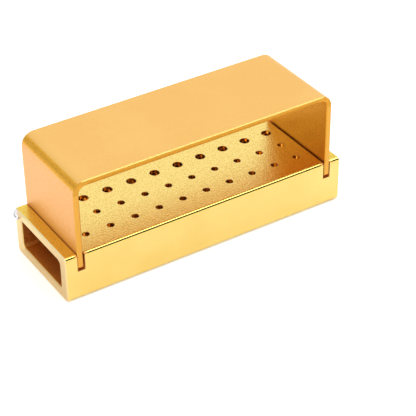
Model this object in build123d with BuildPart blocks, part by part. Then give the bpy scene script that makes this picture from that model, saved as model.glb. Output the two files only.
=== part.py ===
"""Dental bur block: a slotted hollow base drilled for thirty burs, and a cover that swings back on two screws.

Millimetres, +Z up. The origin is the centre of the base's underside. X runs along the block and -Y is its front.
"""

import os
from math import asin, degrees

from build123d import *

# Base: a hollow bar, open at both ends
base_length = 80.0
base_depth = 26.2
base_height = 13.0
side_wall = 3.0
top_wall = 2.4
bottom_wall = 2.65
cavity_corner_radius = 1.0
bottom_edge_radius = 1.3
top_edge_radius = 0.7
end_edge_break = 0.3

# Bur holes: three rows through the top wall, the rear row for thicker shanks
hole_pitch = 6.85
row_pitch = 6.85
first_row_inset = 6.5
slot_to_hole_margin = 3.0
fine_shank_diameter = 1.6
thick_shank_diameter = 2.35
shank_clearance = 0.05
hole_edge_break = 0.12

# Cover: one sheet bent into an arch, open at the front and the rear
sheet_thickness = 1.5
cover_headroom = 18.5
outer_bend_radius = 3.4
sheet_edge_break = 0.2

# Slots across the base for the cover's legs, each behind a solid end block
end_block = 3.2
leg_outer_clearance = 0.15
leg_inner_clearance = 0.4
slot_depth = 4.7
foot_gap = 0.8

# Hinge screws, one in each end face near the upper rear edge
hinge_below_top = 1.4
hinge_from_rear = 1.4
shank_diameter = 1.6
head_diameter = 2.7
head_height = 0.9
head_rim_height = 0.5
tip_chamfer = 0.3
inner_wall_grip = 3.0
pivot_clearance = 0.05
screw_hole_clearance = 0.03
screw_end_gap = 0.5
recess_span = 1.6
recess_width = 0.4
recess_depth = 0.45

# Sizes that follow from the ones above
base_half = base_length / 2
front_face = -base_depth / 2
cavity_height = base_height - top_wall - bottom_wall
slot_width = sheet_thickness + leg_outer_clearance + leg_inner_clearance
slot_inner_x = base_half - end_block - slot_width
leg_inner_x = slot_inner_x + leg_inner_clearance
leg_outer_x = leg_inner_x + sheet_thickness
hole_columns = 1 + int(2 * (slot_inner_x - slot_to_hole_margin) / hole_pitch)
slot_floor = base_height - slot_depth
foot_z = slot_floor + foot_gap
cover_top = base_height + cover_headroom + sheet_thickness
inner_bend_radius = outer_bend_radius - sheet_thickness
hinge_y = base_depth / 2 - hinge_from_rear
hinge_z = base_height - hinge_below_top
screw_reach = end_block + slot_width + inner_wall_grip
shank_radius = shank_diameter / 2
head_radius = head_diameter / 2


def row_positions(row: int) -> list[tuple[float, float]]:
    """Centres of one row of bur holes, counted from the front."""
    row_y = front_face + first_row_inset + row * row_pitch
    first_x = -(hole_columns - 1) * hole_pitch / 2
    return [(first_x + column * hole_pitch, row_y) for column in range(hole_columns)]


def end_plane(side: int) -> Plane:
    """Plane of one end face on the hinge axis, with its normal pointing outwards."""
    return Plane(origin=(side * base_half, hinge_y, hinge_z), x_dir=(0, 1, 0), z_dir=(side, 0, 0))


# Base
with BuildPart() as base:
    with BuildSketch(Plane.YZ) as base_section:
        Rectangle(base_depth, base_height, align=(Align.CENTER, Align.MIN))
        fillet(base_section.vertices().group_by(Axis.Y)[0], radius=bottom_edge_radius)
        fillet(base_section.vertices().group_by(Axis.Y)[-1], radius=top_edge_radius)
        with Locations((0, bottom_wall + cavity_height / 2)):
            RectangleRounded(
                base_depth - 2 * side_wall, cavity_height, cavity_corner_radius, mode=Mode.SUBTRACT
            )
    extrude(amount=base_half, both=True)
    end_faces = base.faces().filter_by(Axis.X)
    chamfer(end_faces.edges(), length=end_edge_break)

    with BuildSketch(Plane.XY.offset(slot_floor)):
        for side in (-1, 1):
            with Locations((side * (slot_inner_x + slot_width / 2), 0)):
                Rectangle(slot_width, base_depth)
    extrude(amount=slot_depth, mode=Mode.SUBTRACT)

    for row, shank in enumerate((fine_shank_diameter, fine_shank_diameter, thick_shank_diameter)):
        hole_radius = shank / 2 + shank_clearance
        with Locations(*[(x, y, base_height) for x, y in row_positions(row)]):
            CounterSinkHole(
                radius=hole_radius,
                counter_sink_radius=hole_radius + hole_edge_break,
                depth=top_wall + cavity_height / 2,
                counter_sink_angle=90,
            )

    for side in (-1, 1):
        with Locations(end_plane(side)):
            Hole(radius=shank_radius + screw_hole_clearance, depth=screw_reach + screw_end_gap)

base.part.label = "base"

# Cover
with BuildPart() as cover:
    with BuildSketch(Plane.XZ) as cover_section:
        with BuildLine():
            FilletPolyline(
                (-leg_outer_x, foot_z),
                (-leg_outer_x, cover_top),
                (leg_outer_x, cover_top),
                (leg_outer_x, foot_z),
                radius=outer_bend_radius,
            )
            Line((leg_outer_x, foot_z), (leg_inner_x, foot_z))
            FilletPolyline(
                (leg_inner_x, foot_z),
                (leg_inner_x, cover_top - sheet_thickness),
                (-leg_inner_x, cover_top - sheet_thickness),
                (-leg_inner_x, foot_z),
                radius=inner_bend_radius,
            )
            Line((-leg_inner_x, foot_z), (-leg_outer_x, foot_z))
        make_face()
    extrude(amount=base_depth / 2, both=True)
    chamfer(cover.faces().filter_by(Axis.Y).edges(), length=sheet_edge_break)

    with BuildSketch(Plane.YZ):
        with Locations((hinge_y, hinge_z)):
            Circle(shank_radius + pivot_clearance)
    extrude(amount=base_half, both=True, mode=Mode.SUBTRACT)

cover.part.label = "cover"


def hinge_screw(side: int) -> Part:
    """Screw with a domed, cross-slotted head: its shank runs through the leg into the base's inner wall."""
    seat = end_plane(side)
    dome_height = head_height - head_rim_height
    dome_radius = (head_radius**2 + dome_height**2) / (2 * dome_height)
    with BuildPart() as screw:
        with BuildSketch(Plane(origin=seat.origin, x_dir=seat.z_dir, z_dir=(0, -side, 0))):
            with BuildLine():
                dome = JernArc(
                    start=(head_height, 0),
                    tangent=(0, 1),
                    radius=dome_radius,
                    arc_size=degrees(asin(head_radius / dome_radius)),
                )
                Polyline(
                    dome @ 1,
                    (0, head_radius),
                    (0, shank_radius),
                    (tip_chamfer - screw_reach, shank_radius),
                    (-screw_reach, shank_radius - tip_chamfer),
                    (-screw_reach, 0),
                    (head_height, 0),
                )
            make_face()
        revolve(axis=Axis(seat.origin, seat.z_dir))

        with BuildSketch(seat.offset(head_height)):
            Rectangle(recess_span, recess_width)
            Rectangle(recess_width, recess_span)
        extrude(amount=-recess_depth, mode=Mode.SUBTRACT)
    return screw.part


left_hinge_screw = hinge_screw(-1)
left_hinge_screw.label = "left_hinge_screw"
right_hinge_screw = hinge_screw(1)
right_hinge_screw.label = "right_hinge_screw"

os.makedirs("parts", exist_ok=True)
export_step(base.part, "parts/base.step")
export_step(cover.part, "parts/cover.step")
export_step(left_hinge_screw, "parts/left_hinge_screw.step")
export_step(right_hinge_screw, "parts/right_hinge_screw.step")
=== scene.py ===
"""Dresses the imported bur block: a gold anodised drilled base, its hinged cover and two steel hinge screws.

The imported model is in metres, with X along the block, -Y its front and +Z up. The sizes of its pieces are
given here in millimetres.
"""

import logging
import math
from dataclasses import dataclass
from enum import Enum
from typing import Any

import bmesh
import bpy
from mathutils import Matrix, Vector

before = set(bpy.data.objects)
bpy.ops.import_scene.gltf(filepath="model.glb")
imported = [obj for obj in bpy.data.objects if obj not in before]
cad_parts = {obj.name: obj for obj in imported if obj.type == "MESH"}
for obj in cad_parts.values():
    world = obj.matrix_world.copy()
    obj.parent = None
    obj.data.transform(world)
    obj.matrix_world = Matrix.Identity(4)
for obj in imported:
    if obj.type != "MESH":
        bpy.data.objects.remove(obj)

LOG = logging.getLogger("bur_block")
PHOTO_SIDE_PX = 416
MM = 0.001

NOISE_MEAN = 0.5

# Socket numbers of a Mix node that blends colours
MIX_FACTOR, MIX_LOW, MIX_HIGH, MIX_RESULT = 0, 6, 7, 2

# Millimetres by which a zone runs past the piece, so that its blurred end stays clear of it
PAST = 1.0

Colour = tuple[float, float, float]
Place = tuple[float, float, float]
Span = tuple[float, float]


class Socket:
    """A shader output that can be used in Python arithmetic: each operator adds one Math node."""

    def __init__(self, tree: "ShaderTree", output: bpy.types.NodeSocket) -> None:
        """Wraps an output.

        Args:
            tree: The shader tree that the output belongs to.
            output: The output itself.
        """
        self.tree = tree
        self.output = output

    def _math(self, operation: str, *values: "Socket | float") -> "Socket":
        """Adds a Math node and returns its output."""
        return self.tree.node("ShaderNodeMath", {"operation": operation}, dict(enumerate(values)))

    def __add__(self, other: "Socket | float") -> "Socket":
        """Sum of this value and another."""
        return self._math("ADD", self, other)

    def __radd__(self, other: float) -> "Socket":
        """Sum of a number and this value."""
        return self._math("ADD", other, self)

    def __sub__(self, other: "Socket | float") -> "Socket":
        """This value less another."""
        return self._math("SUBTRACT", self, other)

    def __rsub__(self, other: float) -> "Socket":
        """A number less this value."""
        return self._math("SUBTRACT", other, self)

    def __mul__(self, other: "Socket | float") -> "Socket":
        """Product of this value and another."""
        return self._math("MULTIPLY", self, other)

    def __rmul__(self, other: float) -> "Socket":
        """Product of a number and this value."""
        return self._math("MULTIPLY", other, self)

    def maximum(self, other: "Socket | float") -> "Socket":
        """The larger of this value and another."""
        return self._math("MAXIMUM", self, other)

    def size(self) -> "Socket":
        """This value without its sign."""
        return self._math("ABSOLUTE", self)

    def ramp(self, low: float, high: float) -> "Socket":
        """Smooth step over this value.

        Args:
            low: Value at which the step starts.
            high: Value at which it ends.

        Returns:
            0 up to low and 1 from high on.
        """
        return self.tree.node(
            "ShaderNodeMapRange",
            {"interpolation_type": "SMOOTHSTEP"},
            {"Value": self, "From Min": low, "From Max": high, "To Min": 0.0, "To Max": 1.0},
        )


class ShaderTree:
    """Builds the nodes of one material or world."""

    def __init__(self, owner: bpy.types.ID) -> None:
        """Starts an empty tree.

        Args:
            owner: The material or world whose nodes are built.
        """
        owner.use_nodes = True
        self.is_world = isinstance(owner, bpy.types.World)
        self.nodes = owner.node_tree.nodes
        self.links = owner.node_tree.links
        self.nodes.clear()

    def node(self, kind: str, settings: dict[str, Any], inputs: dict[Any, Any], out: int | str = 0) -> Socket:
        """Adds any node.

        Args:
            kind: The node's type name.
            settings: Attributes that are set before its sockets, such as an operation.
            inputs: Values or sockets, by input name or number.
            out: The output that is returned, by name or number.

        Returns:
            The chosen output, ready for arithmetic.
        """
        made = self.nodes.new(kind)
        for name, value in settings.items():
            setattr(made, name, value)
        for key, value in inputs.items():
            if isinstance(value, Socket):
                self.links.new(value.output, made.inputs[key])
            else:
                made.inputs[key].default_value = value
        return Socket(self, made.outputs[out])

    def position(self) -> Socket:
        """The object's own coordinates, in metres."""
        return self.node("ShaderNodeTexCoord", {}, {}, "Object")

    def axes(self, vector: Socket) -> tuple[Socket, Socket, Socket]:
        """The three parts of a vector."""
        split = self.node("ShaderNodeSeparateXYZ", {}, {"Vector": vector}).output.node
        return tuple(Socket(self, output) for output in split.outputs)

    def facing(self, direction: Vector) -> Socket:
        """Compares the world direction that is looked up with another one.

        Args:
            direction: The other direction, as a unit vector.

        Returns:
            The cosine of the angle between them.
        """
        looked_up = self.node("ShaderNodeTexCoord", {}, {}, "Generated")
        ends = {0: looked_up, 1: direction}
        return self.node("ShaderNodeVectorMath", {"operation": "DOT_PRODUCT"}, ends, "Value")

    def ray(self, kind: str) -> Socket:
        """1 for one kind of ray and 0 for the others."""
        return self.node("ShaderNodeLightPath", {}, {}, kind)

    def noise(self, cell: float, octaves: float, roughness: float = 0.5) -> Socket:
        """Noise value over the object's own coordinates.

        Args:
            cell: Size of its largest cells, in millimetres.
            octaves: Octaves.
            roughness: How much each finer octave counts.

        Returns:
            The noise value, about 0.5 on average.
        """
        scale = 1.0 / (cell * MM)
        return self.node(
            "ShaderNodeTexNoise",
            {},
            {"Vector": self.position(), "Scale": scale, "Detail": octaves, "Roughness": roughness},
            "Fac",
        )

    def blend(self, factor: Socket, low: Socket | Colour, high: Socket | Colour) -> Socket:
        """Blends two colours.

        Args:
            factor: Share of the second colour.
            low: Colour at factor 0.
            high: Colour at factor 1.

        Returns:
            The blended colour.
        """
        low, high = (end if isinstance(end, Socket) else (*end, 1.0) for end in (low, high))
        ends = {MIX_FACTOR: factor, MIX_LOW: low, MIX_HIGH: high}
        return self.node("ShaderNodeMix", {"data_type": "RGBA"}, ends, MIX_RESULT)

    def surface(self, shader: Socket) -> None:
        """Links a shader to the output.

        Args:
            shader: The finished shader or background.
        """
        kind = "ShaderNodeOutputWorld" if self.is_world else "ShaderNodeOutputMaterial"
        end = self.nodes.new(kind)
        self.links.new(shader.output, end.inputs["Surface"])


@dataclass(frozen=True)
class Zone:
    """A stretch of a piece with a finish, painted shade or highlight of its own, alike on both sides of the
    piece's middle.

    Each span holds a lowest and a highest distance in millimetres: x and y are measured from the middle, and
    z from the underside. The blur is the width over which the zone fades out beyond them. A zone with a dark
    colour is speckled with it, and grain is the share of the blasted grain that is left.
    """

    colour: Colour
    roughness: float
    grain: float
    dark_colour: Colour | None = None
    x: Span | None = None
    y: Span | None = None
    z: Span | None = None
    blur: float = 0.1

    def mask(self, tree: ShaderTree) -> Socket:
        """Weight of the zone.

        Args:
            tree: The material's nodes.

        Returns:
            1 inside the zone and 0 outside it, with a narrow blur between.
        """
        across, deep, high = tree.axes(tree.position())
        blur = self.blur * MM
        inside = []
        for value, span in ((across.size(), self.x), (deep.size(), self.y), (high, self.z)):
            if span is None:
                continue
            low, top = (end * MM for end in span)
            inside.append(value.ramp(low - blur, low) * (1.0 - value.ramp(top, top + blur)))
        return math.prod(inside[1:], start=inside[0])


@dataclass(frozen=True)
class AnodisedFinish:
    """Gold anodised aluminium, blasted before it was dyed. Sizes are in millimetres."""

    name: str
    colour: Colour
    deep_colour: Colour
    roughness: float
    roughness_spread: float
    cloud_size: float
    grain_size: float
    grain_depth: float
    cloud_octaves: float = 3.0
    grain_octaves: float = 2.0
    grain_sharpness: float = 0.6
    cloud_span: Span = (0.35, 0.65)
    grain_span: Span = (0.35, 0.7)
    speck_span: Span = (0.36, 0.52)

    def material(self, zones: tuple[Zone, ...]) -> bpy.types.Material:
        """Makes the material.

        Args:
            zones: The stretches with a finish, painted shade or highlight of their own, where a later one
                covers an earlier one.

        Returns:
            Metal whose dye drifts slowly over the surface, with a fine blasted grain and its zones.
        """
        made = bpy.data.materials.new(self.name)
        tree = ShaderTree(made)
        clouds = tree.noise(self.cloud_size, self.cloud_octaves)
        grain = tree.noise(self.grain_size, self.grain_octaves, self.grain_sharpness)
        drift = (clouds.ramp(*self.cloud_span) + grain.ramp(*self.grain_span)) * 0.5
        colour = tree.blend(drift, self.deep_colour, self.colour)
        rough = self.roughness + (grain - NOISE_MEAN) * self.roughness_spread
        specks = grain.ramp(*self.speck_span)
        blasted = grain
        for zone in zones:
            mask = zone.mask(tree)
            speckled = tree.blend(specks, zone.dark_colour or zone.colour, zone.colour)
            colour = tree.blend(mask, colour, speckled)
            rough = rough + (zone.roughness - rough) * mask
            blasted = blasted * (1.0 - (1.0 - zone.grain) * mask)
        depth = self.grain_depth * MM
        normal = tree.node("ShaderNodeBump", {}, {"Strength": 1.0, "Distance": depth, "Height": blasted})
        shader = tree.node(
            "ShaderNodeBsdfPrincipled",
            {},
            {"Base Color": colour, "Metallic": 1.0, "Roughness": rough, "Normal": normal},
        )
        tree.surface(shader)
        return made


@dataclass(frozen=True)
class SteelFinish:
    """Bright turned stainless steel. The marks' size is in millimetres."""

    name: str
    colour: Colour
    roughness: float
    roughness_spread: float
    mark_size: float
    mark_octaves: float = 2.0

    def material(self) -> bpy.types.Material:
        """Makes the material.

        Returns:
            Bright metal with faint turning marks.
        """
        made = bpy.data.materials.new(self.name)
        tree = ShaderTree(made)
        marks = tree.noise(self.mark_size, self.mark_octaves)
        rough = self.roughness + (marks - NOISE_MEAN) * self.roughness_spread
        shader = tree.node(
            "ShaderNodeBsdfPrincipled",
            {},
            {"Base Color": (*self.colour, 1.0), "Metallic": 1.0, "Roughness": rough},
        )
        tree.surface(shader)
        return made


class Finish(Enum):
    """The finishes on the block, by the piece that wears them."""

    BASE = AnodisedFinish(
        name="base_gold",
        colour=(1.0, 0.78, 0.27),
        deep_colour=(0.97, 0.70, 0.21),
        roughness=0.24,
        roughness_spread=0.10,
        cloud_size=12.0,
        grain_size=0.3,
        grain_depth=0.06,
    )
    COVER = AnodisedFinish(
        name="cover_gold",
        colour=(0.92, 0.575, 0.185),
        deep_colour=(0.89, 0.52, 0.145),
        roughness=0.42,
        roughness_spread=0.08,
        cloud_size=20.0,
        grain_size=0.4,
        grain_depth=0.04,
    )
    SCREW = SteelFinish(
        name="screw_steel",
        colour=(0.88, 0.88, 0.90),
        roughness=0.36,
        roughness_spread=0.12,
        mark_size=1.0 / 9.0,
    )


@dataclass
class CarriedPiece:
    """A CAD node that keeps its shape and wears a finish."""

    node: str

    def material(self) -> bpy.types.Material:
        """The material that the piece wears."""
        raise NotImplementedError

    def dress(self) -> bpy.types.Object:
        """Puts the material on the node.

        Returns:
            The dressed object.
        """
        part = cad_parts[self.node]
        part.data.materials.clear()
        part.data.materials.append(self.material())
        return part


@dataclass
class DrilledBase(CarriedPiece):
    """The hollow bar that holds the burs, slotted across for the cover's legs. Sizes are in millimetres.

    The last fields say how far zones reach: a margin before the edges of flat faces, a hairline at thin
    edges, and the distances from the cavity, the holes and the slots at which one finish or painted shade
    gives way to the next.
    """

    node: str = "base"
    half_length: float = 40.0
    half_depth: float = 13.1
    height: float = 13.0
    edge_radius: float = 0.7
    end_break: float = 0.3
    cavity_half_depth: float = 10.1
    cavity_floor: float = 2.65
    cavity_top: float = 10.6
    hole_rim: float = 0.12
    slot_inner: float = 34.75
    slot_outer: float = 36.8
    slot_floor: float = 8.3
    margin: float = 0.1
    hairline: float = 0.02
    cavity_reach: float = 0.25
    floor_inset: float = 0.2
    hole_inset: float = 0.15
    rim_inset: float = 0.03
    slot_inner_reach: float = 0.75
    slot_outer_reach: float = 0.5
    slot_floor_reach: float = 0.4

    def material(self) -> bpy.types.Material:
        """The base's gold, with its plate, edges, ends, cavity, holes and slots, and its painted shade and
        highlights.
        """
        return Finish.BASE.value.material((*self._outer_zones(), *self._inner_zones()))

    def _outer_zones(self) -> tuple[Zone, ...]:
        """Lists the zones on the top, the long edges and the ends.

        Returns:
            The zones, where a later one covers an earlier one.
        """
        on_top = (self.height - self.margin, self.height + PAST)
        between_edges = (-PAST, self.half_depth - self.edge_radius)
        plate = Zone(
            colour=(1.0, 0.77, 0.25), dark_colour=(0.84, 0.56, 0.12), roughness=0.18, grain=1.15,
            x=(-PAST, (self.slot_inner + self.slot_outer) / 2), y=between_edges, z=on_top,
        )
        # Painted shade: the top's end strips, outside the slots, are a darker gold than the plate, standing
        # in for the shade and reflection of the cover's legs.
        end_strip_shade = Zone(
            colour=(0.90, 0.64, 0.11), dark_colour=(0.74, 0.455, 0.055), roughness=0.19, grain=1.2,
            x=(self.slot_outer - self.margin, self.half_length - self.end_break - self.margin),
            y=between_edges, z=on_top,
        )
        # Painted shade: a thin dark red line along the outer edge of each slot, for the shaded gap beside the
        # cover's leg.
        slot_edge_shade = Zone(
            colour=(0.50, 0.10, 0.045), roughness=0.35, grain=0.6, blur=0.04,
            x=(self.slot_outer - self.margin, self.slot_outer + 2 * self.hairline), y=between_edges, z=on_top,
        )
        long_edges = Zone(
            colour=(0.97, 0.72, 0.17), roughness=0.07, grain=0.0, blur=0.05,
            y=(self.half_depth - self.edge_radius + self.hairline, self.half_depth + PAST),
            z=(self.height - self.edge_radius, self.height + PAST),
        )
        end_faces = Zone(
            colour=(1.0, 0.74, 0.36), roughness=0.32, grain=0.6,
            x=(self.half_length - 2 * self.margin, self.half_length + PAST),
            z=(-PAST, self.height - self.margin),
        )
        # Painted highlight: a pale cream line along the bevel at the top of each end.
        end_bevel_highlights = Zone(
            colour=(1.0, 0.88, 0.50), roughness=0.5, grain=0.0, blur=0.03,
            x=(self.half_length - self.end_break + self.hairline, self.half_length + PAST),
            z=(self.height - self.end_break - self.hairline, self.height + PAST),
        )
        return plate, end_strip_shade, slot_edge_shade, long_edges, end_faces, end_bevel_highlights

    def _inner_zones(self) -> tuple[Zone, ...]:
        """Lists the zones in the cavity, the holes and the slots.

        Returns:
            The zones, where a later one covers an earlier one.
        """
        inside_ends = (-PAST, self.half_length - self.end_break - self.margin)
        inside_walls = (-PAST, self.cavity_half_depth)
        slot_start = self.slot_inner - self.slot_inner_reach
        under_floor = self.cavity_floor - self.cavity_reach
        hole_foot = self.cavity_top + self.hole_inset
        hole_head = self.height - self.hole_inset
        # Painted shade: the hollow inside the base is a darker, redder gold than the outside.
        cavity = Zone(
            colour=(0.93, 0.49, 0.14), dark_colour=(0.68, 0.28, 0.07), roughness=0.32, grain=1.8,
            x=inside_ends, y=(-PAST, self.cavity_half_depth + self.cavity_reach), z=(under_floor, hole_foot),
        )
        # Painted shade on the cavity's floor, in a darker, redder gold than the outside.
        cavity_floor = Zone(
            colour=(0.93, 0.48, 0.11), dark_colour=(0.77, 0.34, 0.06), roughness=0.38, grain=1.2, blur=0.3,
            x=inside_ends, y=(-PAST, self.cavity_half_depth - self.floor_inset),
            z=(under_floor, self.cavity_floor + self.cavity_reach),
        )
        holes = Zone(
            colour=(1.0, 0.68, 0.22), roughness=0.11, grain=0.0,
            x=(-PAST, slot_start), y=inside_walls, z=(hole_foot, hole_head),
        )
        # Painted shade: a dark brown ring just inside the top of each hole.
        hole_rim_shade = Zone(
            colour=(0.50, 0.21, 0.04), roughness=0.3, grain=0.3, blur=0.025,
            x=(-PAST, slot_start), y=inside_walls,
            z=(self.height - self.hole_rim, self.height - self.rim_inset),
        )
        # Painted shade: the slots' walls and floor are a darker, redder gold than the outside.
        slots = Zone(
            colour=(0.95, 0.42, 0.14), roughness=0.55, grain=0.6,
            x=(slot_start, self.slot_outer + self.slot_outer_reach), y=(-PAST, self.half_depth - self.margin),
            z=(self.slot_floor - self.slot_floor_reach, hole_head),
        )
        return cavity, cavity_floor, holes, hole_rim_shade, slots


@dataclass
class Cover(CarriedPiece):
    """The sheet bent into an arch over the burs. Sizes are in millimetres.

    The last fields say how far zones reach: a skin under the legs' outer faces, distances below the top and
    inwards from the legs' outer faces, and depths into the sheet from inside the arch.
    """

    node: str = "cover"
    half_depth: float = 13.1
    top: float = 33.0
    foot: float = 9.1
    base_top: float = 13.0
    sheet: float = 1.5
    leg_outer: float = 36.65
    edge_break: float = 0.2
    hairline: float = 0.02
    leg_skin: float = 0.25
    leg_faces_below_top: float = 2.5
    leg_edges_below_top: float = 3.5
    bends_below_top: Span = (2.0, 0.7)
    bends_inset: Span = (1.45, 0.3)
    leg_reach: float = 0.15
    ceiling_reach: float = 0.2
    ceiling_inset: float = 4.65

    def material(self) -> bpy.types.Material:
        """Makes the cover's gold.

        Returns:
            The material, with cut edges, painted shade on its bends and inside, and painted light on its top
            edges and legs.
        """
        outside = self.leg_outer + PAST
        under_foot = self.foot - PAST
        bend_low, bend_high = (self.top - drop for drop in self.bends_below_top)
        bend_inner, bend_outer = (self.leg_outer - inset for inset in self.bends_inset)
        inside_end = self.leg_outer - self.sheet + self.leg_reach
        ceiling_top = self.top - self.sheet + self.ceiling_reach
        cut_edge = (self.half_depth - self.edge_break - self.hairline, self.half_depth + PAST)
        # Painted light: the legs' outer faces are a pinker gold that stands in for how they are lit, not a
        # finish of their own.
        leg_face_tint = Zone(
            colour=(0.955, 0.53, 0.215), dark_colour=(0.925, 0.475, 0.165), roughness=0.44, grain=1.0,
            x=(self.leg_outer - self.leg_skin, outside), z=(under_foot, self.top - self.leg_faces_below_top),
            blur=0.3,
        )
        # Painted shade: the bends are a deeper, darker orange than the flat sheet.
        bends = Zone(
            colour=(0.97, 0.50, 0.055), dark_colour=(0.84, 0.38, 0.03), roughness=0.34, grain=1.6,
            x=(bend_inner, bend_outer), z=(bend_low, bend_high), blur=0.4,
        )
        cut_edges = Zone(colour=(0.72, 0.345, 0.045), roughness=0.28, grain=0.5, y=cut_edge)
        leg_edges = Zone(
            colour=(0.83, 0.42, 0.07), roughness=0.28, grain=0.5,
            x=(bend_inner, outside), y=cut_edge, z=(under_foot, self.top - self.leg_edges_below_top),
        )
        # Painted highlight: a light yellow line along the chamfer at the top of the front and rear edges.
        top_edge_highlights = Zone(
            colour=(0.96, 0.73, 0.22), roughness=0.43, grain=0.2, blur=0.02,
            y=cut_edge, z=(self.top - self.edge_break - self.hairline, self.top + PAST),
        )
        # Painted shade: the inside of the arch is a darker, redder gold than the outside.
        inside = Zone(
            colour=(0.83, 0.385, 0.042), dark_colour=(0.70, 0.285, 0.022), roughness=0.34, grain=1.4,
            x=(-PAST, inside_end), z=(self.base_top, ceiling_top),
        )
        # Painted shade, deeper still, under the arch's top, fading out over a millimetre.
        ceiling_shade = Zone(
            colour=(0.66, 0.28, 0.025), dark_colour=(0.56, 0.21, 0.015), roughness=0.34, grain=1.4,
            x=(-PAST, self.leg_outer - self.ceiling_inset), z=(bend_low, ceiling_top), blur=1.0,
        )
        zones = (leg_face_tint, bends, cut_edges, leg_edges, top_edge_highlights, inside, ceiling_shade)
        return Finish.COVER.value.material(zones)


@dataclass
class HingeScrew(CarriedPiece):
    """One of the two screws on which the cover turns."""

    def material(self) -> bpy.types.Material:
        """Turned steel."""
        return Finish.SCREW.value.material()


def towards(azimuth_deg: float, elevation_deg: float) -> Vector:
    """Unit vector from the block to a place around it.

    Args:
        azimuth_deg: Turn about the vertical, 0 in front of the block and 90 at its right end.
        elevation_deg: Height above the horizon.

    Returns:
        The direction in the model's frame.
    """
    turn, rise = math.radians(azimuth_deg), math.radians(elevation_deg)
    return Vector((math.sin(turn) * math.cos(rise), -math.cos(turn) * math.cos(rise), math.sin(rise)))


@dataclass(frozen=True)
class Viewpoint:
    """The photograph's camera, as a direction, a distance and a lens."""

    azimuth_deg: float = -32.185
    elevation_deg: float = 34.858
    roll_deg: float = -0.727
    target: Place = (4.44 * MM, -5.64 * MM, 6.5 * MM)
    distance: float = 384.04 * MM
    focal_px: float = 1521.3
    sensor_mm: float = 36.0
    clip: Span = (0.01, 20.0)

    def camera(self) -> bpy.types.Object:
        """Makes the camera and puts it to use.

        Returns:
            The camera object.
        """
        turn = math.radians(self.azimuth_deg)
        back = towards(self.azimuth_deg, self.elevation_deg)
        right = Vector((math.cos(turn), math.sin(turn), 0.0))
        up = back.cross(right)
        level = Matrix((right, up, back)).transposed()
        data = bpy.data.cameras.new("camera")
        data.sensor_width = self.sensor_mm
        data.lens = self.focal_px * self.sensor_mm / PHOTO_SIDE_PX
        data.clip_start, data.clip_end = self.clip
        camera = bpy.data.objects.new("camera", data)
        bpy.context.scene.collection.objects.link(camera)
        spin = Matrix.Rotation(math.radians(self.roll_deg), 4, "Z")
        place = Matrix.Translation(Vector(self.target) + back * self.distance)
        camera.matrix_world = place @ level.to_4x4() @ spin
        bpy.context.scene.camera = camera
        return camera


@dataclass(frozen=True)
class SkyPatch:
    """A round part of the room that gives less light than the rest, or more.

    Its level, a share of the plain sky, holds out to the inner angle and is gone at the outer one.
    """

    azimuth_deg: float
    elevation_deg: float
    inner_deg: float
    outer_deg: float
    level: float

    def share(self, tree: ShaderTree) -> Socket:
        """Works out the patch's light.

        Args:
            tree: The world's nodes.

        Returns:
            Light in each direction, as a share of the plain sky.
        """
        outer, inner = (math.cos(math.radians(angle)) for angle in (self.outer_deg, self.inner_deg))
        near = tree.facing(towards(self.azimuth_deg, self.elevation_deg)).ramp(outer, inner)
        return 1.0 + (self.level - 1.0) * near


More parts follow.
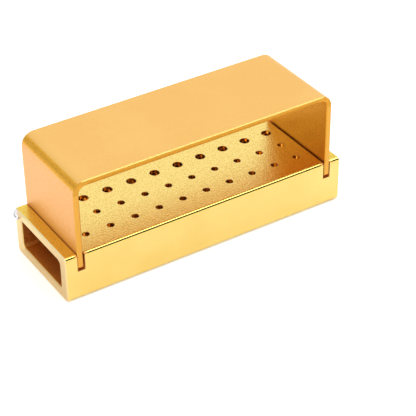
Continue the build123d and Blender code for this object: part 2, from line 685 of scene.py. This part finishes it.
@dataclass(frozen=True)
class Studio:
    """White floor and soft light from all round.

    The first patch darkens the cover's bends and the second brightens the long front edge. The others are
    black cards that draw the dark line along that edge.
    """

    floor_radius: float = 1.5
    floor_sides: int = 96
    floor_colour: float = 0.94
    floor_lift: float = 0.34
    sky: float = 1.01
    patches: tuple[SkyPatch, ...] = (
        SkyPatch(azimuth_deg=-137.0, elevation_deg=14.0, inner_deg=12.0, outer_deg=34.0, level=0.56),
        SkyPatch(azimuth_deg=72.0, elevation_deg=63.0, inner_deg=13.0, outer_deg=24.0, level=3.8),
        SkyPatch(azimuth_deg=26.0, elevation_deg=2.0, inner_deg=8.0, outer_deg=14.0, level=0.02),
        SkyPatch(azimuth_deg=27.0, elevation_deg=16.0, inner_deg=8.0, outer_deg=14.0, level=0.02),
        SkyPatch(azimuth_deg=31.0, elevation_deg=30.0, inner_deg=8.0, outer_deg=14.0, level=0.02),
        SkyPatch(azimuth_deg=38.0, elevation_deg=42.0, inner_deg=7.0, outer_deg=11.0, level=0.02),
    )

    def build(self) -> None:
        """Makes the floor and the world's light."""
        self._floor()
        self._world()

    def _floor(self) -> None:
        """A white disc under the block, lifted to full white for the camera."""
        mesh = bpy.data.meshes.new("floor")
        shape = bmesh.new()
        bmesh.ops.create_circle(shape, cap_ends=True, segments=self.floor_sides, radius=self.floor_radius)
        shape.to_mesh(mesh)
        shape.free()
        floor = bpy.data.objects.new("floor", mesh)
        bpy.context.scene.collection.objects.link(floor)
        made = bpy.data.materials.new("floor_white")
        tree = ShaderTree(made)
        black, lift = (0.0, 0.0, 0.0), (self.floor_lift,) * 3
        shader = tree.node(
            "ShaderNodeBsdfPrincipled",
            {},
            {
                "Base Color": (self.floor_colour, self.floor_colour, self.floor_colour, 1.0),
                "Roughness": 1.0,
                "Specular IOR Level": 0.0,
                "Emission Color": tree.blend(tree.ray("Is Camera Ray"), black, lift),
                "Emission Strength": 1.0,
            },
        )
        tree.surface(shader)
        mesh.materials.append(made)

    def _world(self) -> None:
        """A white sky with its patches, plain white to the camera."""
        world = bpy.data.worlds.new("studio")
        bpy.context.scene.world = world
        tree = ShaderTree(world)
        light = math.prod((patch.share(tree) for patch in self.patches), start=self.sky)
        seen = light.maximum(tree.ray("Is Camera Ray"))
        shader = tree.node("ShaderNodeBackground", {}, {"Color": (1.0, 1.0, 1.0, 1.0), "Strength": seen})
        tree.surface(shader)


def main() -> None:
    """Builds the camera, the studio and each piece in order."""
    logging.basicConfig(level=logging.INFO, format="%(name)s: %(message)s")
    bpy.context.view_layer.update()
    bpy.context.scene.view_settings.view_transform = "Standard"
    Viewpoint().camera()
    Studio().build()
    for piece in (DrilledBase(), Cover(), HingeScrew("left_hinge_screw"), HingeScrew("right_hinge_screw")):
        part = piece.dress()
        LOG.info("dressed %s in %s", piece.node, part.data.materials[0].name)


if __name__ == "__main__":
    main()
